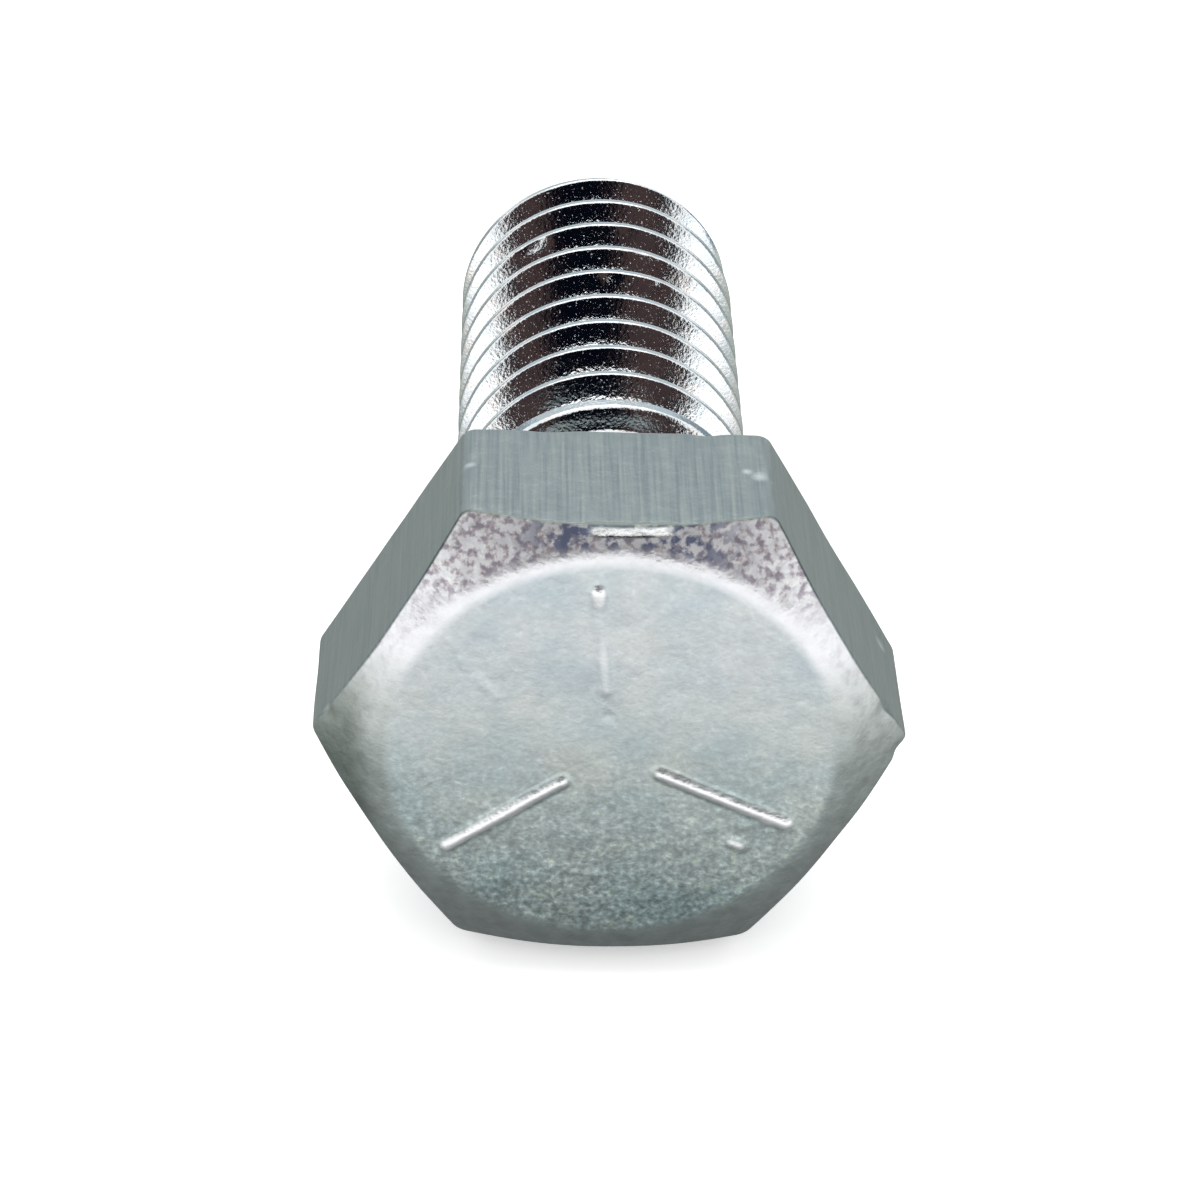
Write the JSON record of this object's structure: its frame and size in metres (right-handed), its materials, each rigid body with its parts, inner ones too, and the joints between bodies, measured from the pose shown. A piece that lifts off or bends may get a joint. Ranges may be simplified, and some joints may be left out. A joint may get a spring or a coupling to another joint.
{
  "type": "hex bolt",
  "caption": "Short hex head bolt with a chamfered head, raised radial grade marks, a round washer face, and a right-hand coarse thread that runs up to the head.",
  "frame": {"origin": "on the screw's axis, at the middle of its overall length", "axes": "+Y runs along the screw from the head to the tip, and +Z is square to one of the six flats, so two flats face +Z and -Z and two corners lie on the X axis"},
  "size_m": [0.0146, 0.0244, 0.0126],
  "materials": {
    "forged_zinc": "bright zinc plate on a cold-forged steel head, satin, faintly blue",
    "rolled_zinc": "bright zinc plate on a rolled steel thread, close to a mirror"
  },
  "bodies": {
    "root": {"hex_head": "forged_zinc", "threaded_shank": "rolled_zinc"}
  },
  "joints": []
}
